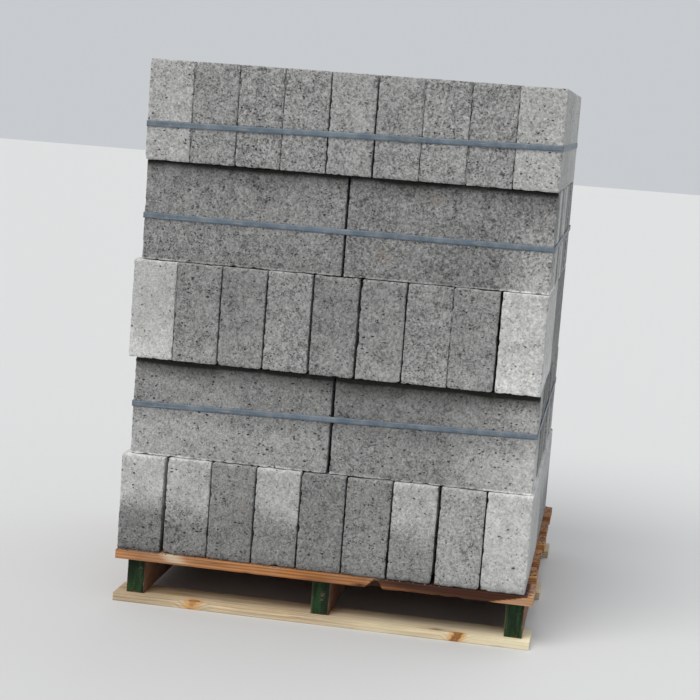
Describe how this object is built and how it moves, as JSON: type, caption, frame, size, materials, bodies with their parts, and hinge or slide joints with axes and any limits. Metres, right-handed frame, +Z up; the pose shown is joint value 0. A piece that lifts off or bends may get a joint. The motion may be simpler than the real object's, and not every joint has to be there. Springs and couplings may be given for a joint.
{
  "type": "pallet of concrete blocks",
  "caption": "Solid concrete blocks in interlocking courses on a two-way timber pallet, held by flat plastic bands",
  "frame": {"origin": "on the floor under the middle of the pallet, at the bottom centre of the bounding box", "axes": "+X along the front to the right, +Y into the depth, +Z up"},
  "size_m": [0.924, 0.92, 1.191],
  "materials": {
    "concrete": "matt, open-textured grey",
    "deck_wood": "sawn, stained red-brown",
    "bearer_wood": "sawn, ends painted dark green",
    "base_wood": "sawn, bare",
    "strap": "satin, slate blue"
  },
  "bodies": {
    "root": {"course_1": "concrete", "course_2": "concrete", "course_3": "concrete", "course_4": "concrete", "course_5": "concrete", "deck_board_1": "deck_wood", "deck_board_2": "deck_wood", "deck_board_3": "deck_wood", "deck_board_4": "deck_wood", "deck_board_5": "deck_wood", "deck_board_6": "deck_wood", "bearer_left": "bearer_wood", "bearer_centre": "bearer_wood", "bearer_right": "bearer_wood", "bottom_board_front": "base_wood", "bottom_board_middle": "base_wood", "bottom_board_back": "base_wood", "strap_lower": "strap", "strap_upper": "strap", "strap_top": "strap"}
  },
  "joints": []
}
